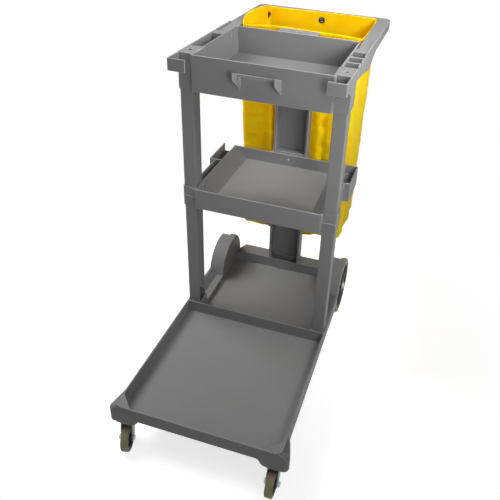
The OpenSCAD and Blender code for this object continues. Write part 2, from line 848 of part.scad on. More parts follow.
module top_tray() color(grey) place() difference() {
    union() {
        difference() {
            translate([0, 0, tray_z]) linear_extrude(tray_h)
                round_rect([-tray_x, 0], [tray_x, tray_d], tray_corner);
            translate([0, 0, tray_floor]) linear_extrude(tray_inside + past)
                round_rect([-tray_x + wall, wall], [tray_x - wall, tray_d - wall], tray_corner - 1);
            translate([0, 0, tray_z - past]) linear_extrude(tray_floor - wall - tray_z + past)
                round_rect([-tray_x + wall, wall], [tray_x - wall, tray_d - wall], tray_corner - 1);
        }
        both_sides() {
            corner_block();
            corner_hook();
        }
        on_side(true) rail_arm();
        difference() {
            rail_arm();
            slot_mouths();
        }
        slot_ribs();
        front_pull();
        tray_boss();
    }
    translate([0, boss_screw_y, tray_top - screw_recess])
        cylinder(d = screw_head + 3, h = screw_recess + past);
    translate([0, boss_screw_y, post_top - past])
        cylinder(d = screw_d + 2 * run_fit, h = screw_recess + 2 * past);
    both_sides() rod_x(tray_x - 3 * wall, tray_x + past, rail_screw_y, (rail_top + rail_z) / 2,
        screw_d / 2 + run_fit);
}

// Handle frame and bag

// Outline of the U-shaped frame in plan, drawn in by an inset
module frame_outline(inset) {
    r = rail_corner - inset;
    difference() {
        union() {
            translate([-rail_out + inset, rail_front + inset])
                square([2 * (rail_out - inset), rail_back - rail_front - rail_corner - inset]);
            round_rect([-rail_out + inset, rail_front + inset], [rail_out - inset, rail_back - inset], r);
        }
        translate([-rail_in - inset, rail_front - past])
            square([2 * (rail_in + inset), bar_in + inset - rail_front + past]);
        for (x = [-rail_out - past, arm_in - fit - inset])
            translate([x, rail_front - past]) square([rail_out + past - arm_in + fit + inset,
                arm_end + fit + inset - rail_front + past]);
    }
}

// The places of the pegs at a height, each with its own +Z pointing into the bag from the frame's inner face
module peg_places(z) {
    for (y = [peg_front_y, peg_rear_y]) both_sides()
        translate([rail_in, y, z]) rotate([0, -90, 0]) children();
    translate([0, bar_in, z]) rotate([90, 0, 0]) children();
}

module handle_frame() color(grey) place() difference() {
    translate([0, 0, rail_z]) linear_extrude(rail_h) frame_outline(0);
    translate([0, 0, rail_z - past]) linear_extrude(rail_h - wall + past) frame_outline(wall);
    peg_places(peg_z) translate([0, 0, -wall - past]) cylinder(d = peg_d + 2 * run_fit, h = wall + 2 * past);
    both_sides() rod_x(rail_in - past, rail_in + wall + past, rail_screw_y, (rail_top + rail_z) / 2,
        screw_d / 2 + run_fit);
}

// A peg with a retaining head behind the frame's wall and a rounded tip in the bag
module peg() {
    tip = 10;
    translate([0, 0, -wall - 2]) cylinder(d = peg_d, h = wall + tip + 3);
    translate([0, 0, -wall - 2]) cylinder(d = peg_d + 4, h = 2);
    translate([0, 0, tip]) rotate_extrude() intersection() {
        square([peg_d / 2 + 1.5, 4]);
        translate([0, -peg_d / 4]) circle(peg_d * 0.8);
    }
}

module bag_pegs() color(steel) place() peg_places(peg_z) peg();

// The bag's outline in plan at its top or its bottom, drawn in by the vinyl's thickness
module bag_outline(low, inset) {
    taper = low ? bag_taper : 0;
    lean = low ? bag_lean : 0;
    round_rect([-bag_x + taper + inset, bag_front + lean + inset],
        [bag_x - taper - inset, bag_back - taper - inset],
        bag_corner - inset);
}

module bag() color(vinyl) place() difference() {
    hull($fn = 32) {
        translate([0, 0, peg_z - 2 * eyelet_d]) linear_extrude(bag_top - peg_z + 2 * eyelet_d)
            bag_outline(false, 0);
        translate([0, 0, bag_z]) linear_extrude(past) bag_outline(true, 0);
    }
    hull($fn = 32) {
        translate([0, 0, peg_z - 2 * eyelet_d]) linear_extrude(bag_top + past - peg_z + 2 * eyelet_d)
            bag_outline(false, bag_wall);
        translate([0, 0, bag_z + bag_wall]) linear_extrude(past) bag_outline(true, bag_wall);
    }
    peg_places(eyelet_z) cylinder(d = eyelet_d + 2 + fit, h = 10);
}

// An eyelet: a barrel through the vinyl with a flange on each side
module eyelet(face) {
    rotate_extrude() {
        translate([eyelet_d / 2, face - 1]) square([1, bag_wall + 2]);
        translate([eyelet_d / 2, face - 1]) square([4.5, 1]);
        translate([eyelet_d / 2, face + bag_wall]) square([4.5, 1]);
    }
}

module bag_eyelets() color(steel) place() {
    for (y = [peg_front_y, peg_rear_y]) both_sides()
        translate([rail_in, y, eyelet_z]) rotate([0, -90, 0]) eyelet(rail_in - bag_x);
    translate([0, bar_in, eyelet_z]) rotate([90, 0, 0]) eyelet(bar_in - bag_back);
}

// Rear wheels and axle

module rear_axle() color(steel) place()
    rod_x(-tyre_x - 5, tyre_x + 5, axle_y, axle_z, axle_d / 2);

// A cap over an end of the axle, outside the outer washer
module axle_caps() color(steel) place() both_sides()
    translate([tyre_x + 2, axle_y, axle_z]) rotate([0, 90, 0]) rotate_extrude() difference() {
        intersection() {
            square([axle_d / 2 + 4, 7]);
            translate([0, -4]) circle(axle_d / 2 + 5);
        }
        translate([0, -past]) square([axle_d / 2 + run_fit, 3 + run_fit + past]);
    }

// Washers inside and outside each rear wheel
module axle_washers() color(steel) place() both_sides() for (x = [hub_x - 2, tyre_x])
    difference() {
        rod_x(x + fit, x + 2 - fit, axle_y, axle_z, axle_d / 2 + 6);
        rod_x(x, x + 2, axle_y, axle_z, axle_d / 2 + run_fit);
    }

// A wheel's rim: hub, web, spokes on both faces and a seat for the tyre, along X from the hub's inner end
module rear_rim(left) color(black) place() on_side(left) {
    seat_r = rear_wheel_d / 2 - tyre_t;
    hub_r = axle_d / 2 + 14;
    width = tyre_x - hub_x;
    rim_low = width - tyre_w + past;
    rim_t = 6;
    translate([hub_x, axle_y, axle_z]) rotate([0, 90, 0]) {
        rotate_extrude($fn = 96) union() {
            translate([axle_d / 2 + run_fit, 0]) square([hub_r - axle_d / 2 - run_fit, width]);
            translate([hub_r - past, rim_low + tyre_w / 2 - rim_t]) square([seat_r - hub_r, rim_t]);
            translate([seat_r - rim_t, rim_low]) square([rim_t, tyre_w - 2]);
        }
        for (i = [0 : spoke_count - 1]) rotate(i * 360 / spoke_count)
            translate([hub_r - past, -2.5, rim_low + 3])
                cube([seat_r - hub_r - rim_t + 2 * past, 5, tyre_w - 6]);
    }
}

// A tyre: a ring with round edges and a slightly crowned tread
module rear_tyre(left) color(tan) place() on_side(left) {
    seat_r = rear_wheel_d / 2 - tyre_t;
    translate([tyre_x - tyre_w, axle_y, axle_z]) rotate([0, 90, 0]) rotate_extrude($fn = 96) union() {
        translate([seat_r, 0]) square([tyre_t - tyre_edge, tyre_w]);
        round_rect([seat_r, 0], [rear_wheel_d / 2, tyre_w], tyre_edge);
    }
}

// Casters

// The children about a caster's swivel axis, at the height of the base's bumper
module at_swivel(left) {
    place() on_side(left) translate([caster_x, caster_y, bumper_z]) children();
}

// The children about a caster's swivel axis at the floor, turned inwards as the caster stands
module turned(left) {
    place() on_side(left) translate([caster_x, caster_y, 0])
        rotate(left ? -left_turn : -right_turn) children();
}

// The children about a caster wheel's centre, turned so that +Z lies along its axle
module at_caster_wheel(left) {
    turned(left) translate([0, -caster_lead, caster_r]) rotate([0, 90, 0]) children();
}

fork_half = caster_tread_w / 2 + 2.5;
race_r = 20;

module caster_plate(left) color(zinc) at_swivel(left) {
    difference() {
        translate([0, 0, -plate_t]) linear_extrude(plate_t) difference() {
            round_rect([-plate_w / 2, -plate_l / 2], [plate_w / 2, plate_l / 2], 6);
            circle(d = kingpin_d + 2 * run_fit);
        }
        plate_holes() translate([0, 0, -plate_t - past]) cylinder(d = screw_d + 0.4, h = plate_t + 2 * past);
    }
    translate([0, 0, -plate_t - race_h + 0.5]) linear_extrude(race_h - 0.5) difference() {
        circle(race_r);
        circle(race_r - 2.5);
    }
}

module caster_balls(left) color(steel) at_swivel(left) for (i = [0 : ball_count - 1])
    rotate(i * 360 / ball_count) translate([race_r - 3 - ball_d / 2, 0, -plate_t - race_h / 2])
        sphere(d = ball_d, $fn = 24);

module caster_kingpin(left) color(steel) at_swivel(left) {
    length = 2 * plate_t + race_h + fit;
    translate([0, 0, -length]) cylinder(d = kingpin_d, h = length - fit);
    translate([0, 0, -length - 2.5]) cylinder(d = kingpin_d + 7, h = 2.5);
}

// Side of a fork in Y and Z, about the swivel axis at the floor
module fork_side() {
    top = crown_z + plate_t;
    lobe = bolt_d / 2 + 7;
    polygon([[crown_back, top], [-crown_front, top], [-caster_lead - lobe, caster_r],
        [-caster_lead + lobe, caster_r]]);
    translate([-caster_lead, caster_r]) circle(lobe);
}

module caster_fork(left) color(zinc) turned(left) difference() {
    union() {
        translate([0, 0, crown_z]) cylinder(r = race_r + 2, h = plate_t);
        block([-fork_half - plate_t, -crown_front, crown_z],
            [fork_half + plate_t, crown_back, crown_z + plate_t]);
        for (x = [-fork_half - plate_t, fork_half]) across(x, x + plate_t) fork_side();
    }
    translate([0, 0, crown_z - past]) cylinder(d = kingpin_d + 2 * run_fit, h = plate_t + 2 * past);
    rod_x(-fork_half - 2 * plate_t, fork_half + 2 * plate_t, -caster_lead, caster_r, bolt_d / 2 + run_fit);
}

module caster_bolt(left) color(steel) at_caster_wheel(left) {
    grip = fork_half + plate_t;
    translate([0, 0, -grip]) cylinder(d = bolt_d, h = 2 * grip + bolt_d * 0.9);
    translate([0, 0, -grip - bolt_d * 0.6]) cylinder(d = bolt_d * 1.85, h = bolt_d * 0.6, $fn = 6);
}

module caster_nut(left) color(steel) at_caster_wheel(left) difference() {
    translate([0, 0, fork_half + plate_t]) cylinder(d = bolt_d * 1.85, h = bolt_d * 0.75, $fn = 6);
    cylinder(d = bolt_d + 2 * run_fit, h = 2 * fork_half);
}

// A caster wheel's core: hub, web and rim in one revolve
module caster_core(left) color(black) at_caster_wheel(left) {
    seat_r = caster_r - caster_tread_t;
    hub_r = bolt_d / 2 + 7;
    hub_half = fork_half - fit;
    rotate_extrude() union() {
        translate([bolt_d / 2 + run_fit, -hub_half]) square([hub_r - bolt_d / 2 - run_fit, 2 * hub_half]);
        translate([hub_r - past, -3]) square([seat_r - hub_r, 6]);
        translate([seat_r - 5, 2 - caster_tread_w / 2]) square([5, caster_tread_w - 4]);
    }
}

module caster_tread(left) color(tan) at_caster_wheel(left) {
    seat_r = caster_r - caster_tread_t;
    half = caster_tread_w / 2;
    edge = min(caster_tread_t, half) * 0.45;
    rotate_extrude($fn = 72) union() {
        translate([seat_r, -half]) square([caster_tread_t - edge, caster_tread_w]);
        round_rect([seat_r, -half], [caster_r, half], edge);
    }
}

// Screws

module caster_screws() color(steel) place() both_sides() translate([caster_x, caster_y, bumper_z - plate_t])
    plate_holes() rotate([180, 0, 0]) screw(12 + plate_t);

module tray_screws() color(steel) place() {
    both_sides() translate([post_mid, screw_y, tray_top - screw_recess]) screw(screw_recess + post_cap - 1);
    translate([0, boss_screw_y, tray_top - screw_recess]) screw(screw_recess + tray_bite);
}

module shelf_screws() color(steel) place() {
    translate([0, shelf_d - wall, shelf_screw_z()]) rotate([90, 0, 0])
        screw(rear_front - shelf_d + wall + 12);
    both_sides() translate([tray_x - 2 * wall, screw_y, corner_screw_z]) rotate([0, -90, 0])
        screw(2 * wall + fit + post_wall + 3);
}

module rail_screws() color(steel) place() both_sides()
    translate([tray_x - wall, rail_screw_y, (rail_top + rail_z) / 2]) rotate([0, -90, 0])
        screw(2 * wall + rail_gap + 3);

base_platform();
front_post_lower(true);  // front_post_left_lower
front_post_lower(false);  // front_post_right_lower
front_post_upper(true);  // front_post_left_upper
front_post_upper(false);  // front_post_right_upper
rear_post_lower();
rear_post_upper();
middle_shelf();
top_tray();
handle_frame();
bag();
bag_pegs();
bag_eyelets();
rear_axle();
axle_caps();
axle_washers();
rear_rim(true);  // rear_rim_left
rear_rim(false);  // rear_rim_right
rear_tyre(true);  // rear_tyre_left
rear_tyre(false);  // rear_tyre_right
caster_plate(true);  // caster_left_plate
caster_plate(false);  // caster_right_plate
caster_balls(true);  // caster_left_balls
caster_balls(false);  // caster_right_balls
caster_kingpin(true);  // caster_left_kingpin
caster_kingpin(false);  // caster_right_kingpin
caster_fork(true);  // caster_left_fork
caster_fork(false);  // caster_right_fork
caster_bolt(true);  // caster_left_bolt
caster_bolt(false);  // caster_right_bolt
caster_nut(true);  // caster_left_nut
caster_nut(false);  // caster_right_nut
caster_core(true);  // caster_left_core
caster_core(false);  // caster_right_core
caster_tread(true);  // caster_left_tread
caster_tread(false);  // caster_right_tread
caster_screws();
tray_screws();
shelf_screws();
rail_screws();
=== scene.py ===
"""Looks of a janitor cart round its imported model.

The grey mouldings get rounded edges and grain, the bag becomes a hanging vinyl shell with hems and eyelets,
and the wheels, casters and screws get their metals, rubbers and plastics. Metres, +Z up, +Y to the rear.
"""

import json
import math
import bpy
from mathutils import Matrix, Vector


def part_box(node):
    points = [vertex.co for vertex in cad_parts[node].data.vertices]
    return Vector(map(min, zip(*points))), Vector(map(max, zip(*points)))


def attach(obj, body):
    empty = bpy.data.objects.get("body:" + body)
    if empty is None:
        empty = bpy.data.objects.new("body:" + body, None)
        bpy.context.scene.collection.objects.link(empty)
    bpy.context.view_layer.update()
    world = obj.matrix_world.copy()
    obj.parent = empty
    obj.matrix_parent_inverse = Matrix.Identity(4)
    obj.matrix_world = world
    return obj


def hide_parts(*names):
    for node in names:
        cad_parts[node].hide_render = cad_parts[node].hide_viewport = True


bl_info = {
    "name": "Janitor cart looks",
    "version": (1, 0, 0),
    "blender": (4, 5, 0),
    "location": "View3D > Sidebar > Cart",
    "description": "Finishes the packed janitor cart: mouldings, bag, wheels, casters, screws and stage",
    "category": "Object",
}

import bmesh
import bpy
import numpy as np
from mathutils import Matrix, Vector

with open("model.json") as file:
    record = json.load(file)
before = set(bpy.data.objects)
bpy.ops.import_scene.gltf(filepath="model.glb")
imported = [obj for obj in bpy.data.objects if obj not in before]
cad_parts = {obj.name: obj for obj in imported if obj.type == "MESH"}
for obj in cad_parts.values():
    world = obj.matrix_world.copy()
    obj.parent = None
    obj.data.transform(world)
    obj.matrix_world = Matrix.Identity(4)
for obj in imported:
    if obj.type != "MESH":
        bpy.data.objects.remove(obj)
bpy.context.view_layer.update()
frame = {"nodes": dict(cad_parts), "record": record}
BODY_OF = {n: body for body, members in frame["record"]["behaviour"]["bodies"].items() for n in members}
SLOT_OF = {part["node"]: part["material_slot"] for part in frame["record"]["subparts"]}
MM = 0.001
SIDES = ("left", "right")

# The boxes of the bag's solid and of the rails, which the bag's shell follows
BAG_LOW, BAG_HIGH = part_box("bag")
RAIL_LOW, RAIL_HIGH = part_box("handle_frame")


def linear(code):
    """An sRGB hex colour as linear red, green and blue."""
    parts = [int(code[i : i + 2], 16) / 255 for i in (1, 3, 5)]
    return [c / 12.92 if c <= 0.04045 else ((c + 0.055) / 1.055) ** 2.4 for c in parts]


def tint(name, description, code):
    """A colour property with an sRGB hex default."""
    return bpy.props.FloatVectorProperty(
        name=name, description=description, subtype="COLOR", size=3, min=0.0, max=1.0, default=linear(code)
    )


def length(name, description, default):
    """A length property in metres."""
    return bpy.props.FloatProperty(name=name, description=description, default=default, unit="LENGTH")


class CartColours(bpy.types.PropertyGroup):
    """Colours of the cart's finishes"""

    grey: tint("Grey plastic", "Moulded polypropylene of the trays, posts and base", "#808080")
    vinyl: tint("Yellow vinyl", "Coated vinyl of the bag", "#ffcf10")
    vinyl_deep: tint("Deep yellow", "Vinyl where it is thicker or creased", "#fcc106")
    tan: tint("Tan rubber", "Treads and tyres", "#8d8560")
    black: tint("Black plastic", "Rims and hubs", "#26272a")
    zinc: tint("Zinc", "Plated steel of the casters", "#656d76")
    nickel: tint("Nickel", "Bolts, nuts, screws and axle ends", "#b4b6b9")
    # A darker nickel for the eyelets, pegs and tray screws
    aged: tint("Aged nickel", "Eyelets, pegs and tray screws, dulled by handling", "#55524c")
    floor: tint("Floor", "Studio floor", "#f4f4f4")


class CartSizes(bpy.types.PropertyGroup):
    """Sizes that the looks add to the solids"""

    moulded_edge: length("Moulded edge", "Radius on the edges of the grey mouldings", 1.3 * MM)
    metal_edge: length("Metal edge", "Radius on the edges of forks, plates and nuts", 0.5 * MM)
    wheel_edge: length("Wheel edge", "Radius on the edges of rims and hubs", 0.8 * MM)
    vinyl_wall: length("Vinyl", "Thickness of the bag's vinyl", 1.6 * MM)
    hem_wall: length("Hem", "Thickness of the folded hem", 3.0 * MM)


class CartStage(bpy.types.PropertyGroup):
    """The camera"""

    camera_place: bpy.props.FloatVectorProperty(
        name="Camera place", description="Where the camera stands", subtype="TRANSLATION", unit="LENGTH",
        size=3, default=(0.43777, -1.40784, 1.42002),
    )
    camera_turn: bpy.props.FloatVectorProperty(
        name="Camera turn", description="How the camera is turned", subtype="EULER", unit="ROTATION",
        size=3, default=[math.radians(a) for a in (58.944, -3.037, 16.679)],
    )
    lens: bpy.props.FloatProperty(name="Lens", description="Focal length in millimetres", default=41.467)
    shift: bpy.props.FloatVectorProperty(
        name="Shift", description="Shift of the picture's frame", size=2, default=(-0.07489, -0.09337)
    )


# Small tools that every piece uses


def add(tree, kind, inputs=None, **settings):
    """Adds a node with its settings; an input that is a socket is linked, and any other value is set."""
    made = tree.nodes.new(kind)
    for name, value in settings.items():
        setattr(made, name, value)
    for key, value in (inputs or {}).items():
        if isinstance(value, bpy.types.NodeSocket):
            tree.links.new(value, made.inputs[key])
        else:
            made.inputs[key].default_value = value
    return made


def blank(name):
    """A material with an empty tree, and that tree."""
    made = bpy.data.materials.new(name)
    made.use_nodes = True
    made.node_tree.nodes.clear()
    return made, made.node_tree


def shade(colour, share):
    """A colour for a socket, made darker or lighter by a share."""
    return [min(1.0, c * share) for c in colour] + [1.0]


def linked(name, data):
    """A new object for some data, linked to the scene."""
    made = bpy.data.objects.new(name, data)
    bpy.context.scene.collection.objects.link(made)
    return made


def new_piece(name, mesh, material, body, slot, *nodes):
    """Links a mesh as a piece that rides on a body and stands for CAD nodes."""
    mesh.name = name
    mesh.materials.clear()
    mesh.materials.append(material)
    piece = linked(name, mesh)
    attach(piece, body)
    if nodes:
        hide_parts(*nodes)
    return piece


def baked(piece):
    """The piece's mesh with its modifiers applied."""
    graph = bpy.context.evaluated_depsgraph_get()
    return bpy.data.meshes.new_from_object(piece.evaluated_get(graph), depsgraph=graph)


def drop(piece):
    """Removes a helper object and its mesh."""
    mesh = piece.data
    bpy.data.objects.remove(piece)
    bpy.data.meshes.remove(mesh)


# Materials


def object_space(tree):
    """The place of each point in its object's own frame."""
    return add(tree, "ShaderNodeTexCoord").outputs["Object"]


def blend(tree, share, first, second):
    """A colour that runs from the first to the second as a share runs from 0 to 1."""
    return add(tree, "ShaderNodeMix", {0: share, 6: first, 7: second}, data_type="RGBA").outputs[2]


def coat(tree, inputs):
    """Ends a material's tree with a principled surface."""
    skin = add(tree, "ShaderNodeBsdfPrincipled", inputs)
    add(tree, "ShaderNodeOutputMaterial", {"Surface": skin.outputs["BSDF"]})


def moulded_polypropylene():
    """Injection-moulded polypropylene: an even mid grey with a fine eroded grain, and a painted highlight on
    the outer edges.
    """
    made, tree = blank("moulded_polypropylene")
    colour = bpy.context.scene.cart_colours.grey
    where = object_space(tree)
    # Flow marks about 90 mm across change the grey by a few percent
    flow = add(tree, "ShaderNodeTexNoise", {"Vector": where, "Scale": 1 / 0.09, "Detail": 4.0})
    tone = blend(tree, flow.outputs["Fac"], shade(colour, 0.94), shade(colour, 1.05))
    # The rounded strips on outer edges are painted much paler: a painted highlight where the rims catch light
    edge = add(tree, "ShaderNodeAttribute", attribute_name="edge")
    highlighted = blend(tree, edge.outputs["Fac"], tone, shade(colour, 1.7))
    # The eroded grain is about 0.4 mm; it is drawn at 1.4 mm so that it shows
    grain = add(tree, "ShaderNodeTexNoise", {"Vector": where, "Scale": 1 / 0.0014, "Detail": 2.0})
    bump = add(tree, "ShaderNodeBump", {"Height": grain.outputs["Fac"], "Strength": 0.22, "Distance": 0.0002})
    gloss = add(tree, "ShaderNodeMapRange", {"Value": flow.outputs["Fac"], "To Min": 0.5, "To Max": 0.62})
    coat(
        tree,
        {
            "Base Color": highlighted, "Roughness": gloss.outputs["Result"], "Normal": bump.outputs["Normal"],
            "Specular IOR Level": 0.17,
        },
    )
    return made


def coated_vinyl():
    """Coated vinyl cloth: saturated yellow with a satin skin, a pebbled grain and small crinkles."""
    made, tree = blank("coated_vinyl")
    colours = bpy.context.scene.cart_colours
    where = object_space(tree)
    # Clouds about 70 mm across, where the vinyl is stretched or slack
    cloud = add(tree, "ShaderNodeTexNoise", {"Vector": where, "Scale": 1 / 0.07, "Detail": 5.0})
    spread = add(
        tree, "ShaderNodeMapRange", {"Value": cloud.outputs["Fac"], "From Min": 0.35, "From Max": 0.75}
    )
    tone = blend(tree, spread.outputs["Result"], shade(colours.vinyl, 1.0), shade(colours.vinyl_deep, 1.0))
    # Crinkles about 22 mm apart that run mostly upright
    tall = add(tree, "ShaderNodeMapping", {"Vector": where, "Scale": (1.0, 1.0, 0.45)})
    crinkle = add(
        tree, "ShaderNodeTexNoise",
        {"Vector": tall.outputs["Vector"], "Scale": 1 / 0.022, "Detail": 3.0, "Distortion": 0.6},
    )
    soft = add(tree, "ShaderNodeBump", {"Height": crinkle.outputs["Fac"], "Strength": 0.3, "Distance": 0.004})
    # A pebbled grain of 1.2 mm cells, drawn a little coarse so that it shows
    pebble = add(tree, "ShaderNodeTexVoronoi", {"Vector": where, "Scale": 1 / 0.0012})
    fine = add(
        tree, "ShaderNodeBump",
        {
            "Height": pebble.outputs["Distance"], "Strength": 0.12, "Distance": 0.0002,
            "Normal": soft.outputs["Normal"],
        },
    )
    coat(
        tree,
        {
            "Base Color": tone, "Normal": fine.outputs["Normal"], "Roughness": 0.5,
            "Specular IOR Level": 0.05, "Subsurface Weight": 0.75, "Subsurface Radius": (1.0, 0.55, 0.08),
            "Subsurface Scale": 0.008,
        },
    )
    return made


def tan_rubber():
    """Moulded thermoplastic rubber: dull olive tan with a dusty, slightly uneven face."""
    made, tree = blank("tan_rubber")
    colour = bpy.context.scene.cart_colours.tan
    where = object_space(tree)
    # Dust in patches about 12 mm across
    dust = add(tree, "ShaderNodeTexNoise", {"Vector": where, "Scale": 1 / 0.012, "Detail": 4.0})
    tone = blend(tree, dust.outputs["Fac"], shade(colour, 0.82), shade(colour, 1.14))
    bump = add(tree, "ShaderNodeBump", {"Height": dust.outputs["Fac"], "Strength": 0.2, "Distance": 0.0004})
    coat(tree, {"Base Color": tone, "Normal": bump.outputs["Normal"], "Roughness": 0.68})
    return made


def black_nylon():
    """Moulded nylon: near black with a satin skin and faint grain."""
    made, tree = blank("black_nylon")
    colour = bpy.context.scene.cart_colours.black
    where = object_space(tree)
    # Grain of about 0.5 mm, drawn at 1.2 mm so that it shows
    grain = add(tree, "ShaderNodeTexNoise", {"Vector": where, "Scale": 1 / 0.0012, "Detail": 2.0})
    tone = blend(tree, grain.outputs["Fac"], shade(colour, 0.85), shade(colour, 1.2))
    bump = add(tree, "ShaderNodeBump", {"Height": grain.outputs["Fac"], "Strength": 0.15, "Distance": 0.0002})
    coat(tree, {"Base Color": tone, "Normal": bump.outputs["Normal"], "Roughness": 0.48})
    return made


def plated_steel(name, tint_name, rough, spangle):
    """Plated steel: zinc or nickel, bright or darker, with faint crystals of the given size in metres."""
    made, tree = blank(name)
    colour = getattr(bpy.context.scene.cart_colours, tint_name)
    where = object_space(tree)
    crystal = add(tree, "ShaderNodeTexVoronoi", {"Vector": where, "Scale": 1 / spangle})
    tone = blend(tree, crystal.outputs["Distance"], shade(colour, 1.06), shade(colour, 0.86))
    gloss = add(
        tree, "ShaderNodeMapRange",
        {"Value": crystal.outputs["Distance"], "To Min": rough - 0.05, "To Max": rough + 0.08},
    )
    coat(tree, {"Base Color": tone, "Roughness": gloss.outputs["Result"], "Metallic": 1.0})
    return made


MAKERS = {
    "grey_plastic": moulded_polypropylene,
    "yellow_vinyl": coated_vinyl,
    "tan_rubber": tan_rubber,
    "black_plastic": black_nylon,
    "zinc_steel": lambda: plated_steel("zinc_plated_steel", "zinc", 0.38, 4 * MM),
    "bright_steel": lambda: plated_steel("nickel_plated_steel", "nickel", 0.3, 3 * MM),
    "aged": lambda: plated_steel("aged_nickel", "aged", 0.42, 3 * MM),
}
made_finishes = {}


def finish(slot):
    """The material for a slot, made on first use."""
    if slot not in made_finishes:
        made_finishes[slot] = MAKERS[slot]()
    return made_finishes[slot]


# Rounded copies of the CAD solids

# Points closer than this are one point, and faces at less than this angle are one face
MERGE = 0.02 * MM
FLAT = math.radians(0.6)
# An edge is rounded above this angle, where each face beside it is this many radii wide
SHARP = math.radians(28)
BEVEL_ROOM = 2.2
BEVEL_STEPS = 2
# Shading is smooth below these angles
SMOOTH = math.radians(35)
SMALL_SMOOTH = math.radians(40)
# Places along an edge where the room beside it is measured
PROBES = (0.12, 0.5, 0.88)


def room(loop):
    """The least distance across a face from its side at a loop to the sides opposite."""
    start, end = loop.vert.co, loop.link_loop_next.vert.co
    along = (end - start).normalized()
    inward = loop.face.normal.cross(along)
    least = 1.0
    for share in PROBES:
        spot = start.lerp(end, share)
        for side in loop.face.edges:
            a, b = (v.co - spot for v in side.verts)
            u, v = a.dot(along), b.dot(along)
            if side != loop.edge and u * v < 0:
                across = a.dot(inward) + (b - a).dot(inward) * u / (u - v)
                if across > MERGE:
                    least = min(least, across)
    return least


def rounded(node, edge):
    """A copy of a node's mesh with merged facets, and sharp edges rounded by a radius where there is room."""
    mesh = frame["nodes"][node].data.copy()
    bm = bmesh.new()
    bm.from_mesh(mesh)
    bmesh.ops.remove_doubles(bm, verts=bm.verts, dist=MERGE)
    bmesh.ops.dissolve_limit(bm, angle_limit=FLAT, verts=bm.verts, edges=bm.edges)
    # A mark on each face, 1 where the painted highlight goes
    highlight_strip = bm.faces.layers.float.new("edge")
    sharp = [e for e in bm.edges if len(e.link_faces) == 2 and e.calc_face_angle(0.0) > SHARP]
    wide = [e for e in sharp if all(room(loop) > BEVEL_ROOM * edge for loop in e.link_loops)]
    made = bmesh.ops.bevel(
        bm, geom=wide, offset=edge, offset_type="OFFSET", segments=BEVEL_STEPS, profile=0.5, affect="EDGES",
        clamp_overlap=False, miter_outer="ARC",
    )
    bm.normal_update()
    # The strips on outer edges are marked for the painted highlight
    for face in made["faces"]:
        outward = sum(e.calc_face_angle_signed(0.0) for e in face.edges)
        face[highlight_strip] = 1.0 if outward > 0 else 0.0
    bmesh.ops.dissolve_degenerate(bm, edges=bm.edges, dist=MERGE)
    bm.to_mesh(mesh)
    bm.free()
    return flat_faced(mesh)


def flat_faced(mesh):
    """Smooth shading whose normals follow the larger faces, so that flat walls look flat."""
    mesh.shade_smooth()
    mesh.set_sharp_from_angle(angle=SMOOTH)
    holder = linked("normals", mesh)
    weigh = holder.modifiers.new("normals", "WEIGHTED_NORMAL")
    weigh.mode = "FACE_AREA"
    weigh.weight = 100
    weigh.keep_sharp = True
    made = baked(holder)
    drop(holder)
    return made


def finished(node, edge, look=None):
    """A rounded copy of a node that stands for it, with the material of the node's slot or another look."""
    slot = SLOT_OF[node]
    return new_piece(node + "_finish", rounded(node, edge), finish(look or slot), BODY_OF[node], slot, node)


MOULDINGS = (
    "base_platform", "middle_shelf", "top_tray", "handle_frame", "rear_post_lower", "rear_post_upper",
    "front_post_left_lower", "front_post_right_lower", "front_post_left_upper", "front_post_right_upper",
)


class CART_OT_mouldings(bpy.types.Operator):
    """Grey trays, posts, base and handle frame with rounded moulded edges"""

    bl_idname = "cart.mouldings"
    bl_label = "Grey mouldings"

    def execute(self, context):
        for node in MOULDINGS:
            finished(node, context.scene.cart_sizes.moulded_edge)
        return {"FINISHED"}


class CART_OT_rear_wheels(bpy.types.Operator):
    """Rear wheels with black rims, tan tyres and a bright axle"""

    bl_idname = "cart.rear_wheels"
    bl_label = "Rear wheels"

    def execute(self, context):
        sizes = context.scene.cart_sizes
        for side in SIDES:
            finished(f"rear_rim_{side}", sizes.wheel_edge)
            finished(f"rear_tyre_{side}", sizes.wheel_edge)
        for node in ("rear_axle", "axle_caps", "axle_washers"):
            finished(node, sizes.metal_edge)
        return {"FINISHED"}


class CART_OT_casters(bpy.types.Operator):
    """Swivel casters with zinc forks, bright bolts, black cores and tan treads"""

    bl_idname = "cart.casters"
    bl_label = "Casters"

    def execute(self, context):
        sizes = context.scene.cart_sizes
        for side in SIDES:
            for part in ("plate", "fork", "bolt", "nut", "kingpin"):
                finished(f"caster_{side}_{part}", sizes.metal_edge)
            for part in ("core", "tread", "balls"):
                finished(f"caster_{side}_{part}", sizes.wheel_edge)
        return {"FINISHED"}


# Screws and eyelets, repeated by Geometry Nodes


def islands(node):
    """The points of each separate solid of a node."""
    bm = bmesh.new()
    bm.from_mesh(frame["nodes"][node].data)
    bmesh.ops.remove_doubles(bm, verts=bm.verts, dist=MERGE)
    left, groups = set(bm.verts), []
    while left:
        todo, group = [left.pop()], []
        while todo:
            v = todo.pop()
            group.append(v.co.copy())
            for e in v.link_edges:
                other = e.other_vert(v)
                if other in left:
                    left.remove(other)
                    todo.append(other)
        groups.append(np.array(group))
    bm.free()
    return sorted(groups, key=lambda g: tuple(np.round(g.mean(0), 4)))


def ring(bm, r, z, steps):
    """New points on a circle about Z at a height."""
    turn = [2 * math.pi * i / steps for i in range(steps)]
    return [bm.verts.new((r * math.cos(a), r * math.sin(a), z)) for a in turn]


